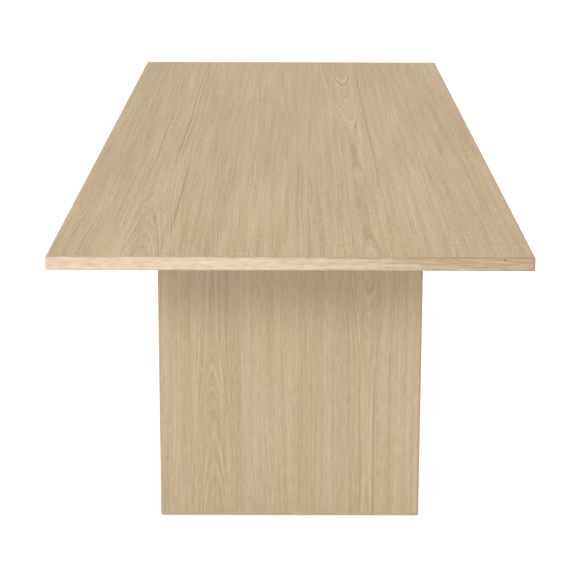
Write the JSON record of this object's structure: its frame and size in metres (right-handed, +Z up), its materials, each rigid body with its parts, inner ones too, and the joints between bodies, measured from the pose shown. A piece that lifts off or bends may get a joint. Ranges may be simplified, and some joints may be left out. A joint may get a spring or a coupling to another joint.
{
  "type": "communion table",
  "caption": "Long church table for serving communion: a thin oak-veneered top over full slab legs set in from its ends, on screw-adjusted levelling feet.",
  "frame": {"origin": "on the floor under the middle of the top", "axes": "+Y along the top towards the rear end, +X to the right as seen from the front end, +Z up"},
  "size_m": [0.9, 2.6, 0.745],
  "materials": {
    "top_veneer": "satin",
    "backing_veneer": "matte",
    "top_lipping": "satin",
    "leg_veneer": "satin",
    "leg_lipping": "satin",
    "board_core": "matte",
    "black_steel": "satin",
    "zinc_steel": "satin",
    "nylon": "matte"
  },
  "bodies": {
    "table": {"top_core": "board_core", "top_face_veneer": "top_veneer", "top_backing_veneer": "backing_veneer", "left_side_lipping": "top_lipping", "right_side_lipping": "top_lipping", "front_end_lipping": "top_lipping", "rear_end_lipping": "top_lipping", "left_stiffener": "black_steel", "right_stiffener": "black_steel", "front_leg_core": "board_core", "front_leg_outer_veneer": "leg_veneer", "front_leg_inner_veneer": "leg_veneer", "front_leg_left_lipping": "leg_lipping", "front_leg_right_lipping": "leg_lipping", "front_leg_bottom_lipping": "leg_lipping", "front_leg_plate": "black_steel", "front_plate_screw_1": "zinc_steel", "front_top_insert_1": "zinc_steel", "front_plate_screw_2": "zinc_steel", "front_top_insert_2": "zinc_steel", "front_plate_screw_3": "zinc_steel", "front_top_insert_3": "zinc_steel", "front_plate_screw_4": "zinc_steel", "front_top_insert_4": "zinc_steel", "front_leg_screw_1": "zinc_steel", "front_leg_screw_2": "zinc_steel", "front_leg_screw_3": "zinc_steel", "front_leg_screw_4": "zinc_steel", "front_left_foot_insert": "zinc_steel", "front_right_foot_insert": "zinc_steel", "rear_leg_core": "board_core", "rear_leg_outer_veneer": "leg_veneer", "rear_leg_inner_veneer": "leg_veneer", "rear_leg_left_lipping": "leg_lipping", "rear_leg_right_lipping": "leg_lipping", "rear_leg_bottom_lipping": "leg_lipping", "rear_leg_plate": "black_steel", "rear_plate_screw_1": "zinc_steel", "rear_top_insert_1": "zinc_steel", "rear_plate_screw_2": "zinc_steel", "rear_top_insert_2": "zinc_steel", "rear_plate_screw_3": "zinc_steel", "rear_top_insert_3": "zinc_steel", "rear_plate_screw_4": "zinc_steel", "rear_top_insert_4": "zinc_steel", "rear_leg_screw_1": "zinc_steel", "rear_leg_screw_2": "zinc_steel", "rear_leg_screw_3": "zinc_steel", "rear_leg_screw_4": "zinc_steel", "rear_left_foot_insert": "zinc_steel", "rear_right_foot_insert": "zinc_steel"},
    "front_left_pad": {"front_left_foot_pad": "nylon"},
    "front_left_stud": {"front_left_foot_stud": "zinc_steel"},
    "front_right_pad": {"front_right_foot_pad": "nylon"},
    "front_right_stud": {"front_right_foot_stud": "zinc_steel"},
    "rear_left_pad": {"rear_left_foot_pad": "nylon"},
    "rear_left_stud": {"rear_left_foot_stud": "zinc_steel"},
    "rear_right_pad": {"rear_right_foot_pad": "nylon"},
    "rear_right_stud": {"rear_right_foot_stud": "zinc_steel"}
  },
  "joints": [
    {"name": "front_left_foot_travel", "type": "slide", "parent": "table", "child": "front_left_pad", "axis": [0, 0, -1], "range_m": [0, 0.01]},
    {"name": "front_left_stud_turn", "type": "hinge", "parent": "front_left_pad", "child": "front_left_stud", "pos_m": [-0.235, -0.66, 0.02], "axis": [0, 0, -1], "range_deg": [0, 2880]},
    {"name": "front_right_foot_travel", "type": "slide", "parent": "table", "child": "front_right_pad", "axis": [0, 0, -1], "range_m": [0, 0.01]},
    {"name": "front_right_stud_turn", "type": "hinge", "parent": "front_right_pad", "child": "front_right_stud", "pos_m": [0.235, -0.66, 0.02], "axis": [0, 0, -1], "range_deg": [0, 2880]},
    {"name": "rear_left_foot_travel", "type": "slide", "parent": "table", "child": "rear_left_pad", "axis": [0, 0, -1], "range_m": [0, 0.01]},
    {"name": "rear_left_stud_turn", "type": "hinge", "parent": "rear_left_pad", "child": "rear_left_stud", "pos_m": [-0.235, 0.66, 0.02], "axis": [0, 0, -1], "range_deg": [0, 2880]},
    {"name": "rear_right_foot_travel", "type": "slide", "parent": "table", "child": "rear_right_pad", "axis": [0, 0, -1], "range_m": [0, 0.01]},
    {"name": "rear_right_stud_turn", "type": "hinge", "parent": "rear_right_pad", "child": "rear_right_stud", "pos_m": [0.235, 0.66, 0.02], "axis": [0, 0, -1], "range_deg": [0, 2880]}
  ],
  "couplings": [
    {"joint": "front_left_stud_turn", "follows": "front_left_foot_travel", "rad_per_m": 5026.5},
    {"joint": "front_right_stud_turn", "follows": "front_right_foot_travel", "rad_per_m": 5026.5},
    {"joint": "rear_left_stud_turn", "follows": "rear_left_foot_travel", "rad_per_m": 5026.5},
    {"joint": "rear_right_stud_turn", "follows": "rear_right_foot_travel", "rad_per_m": 5026.5}
  ]
}
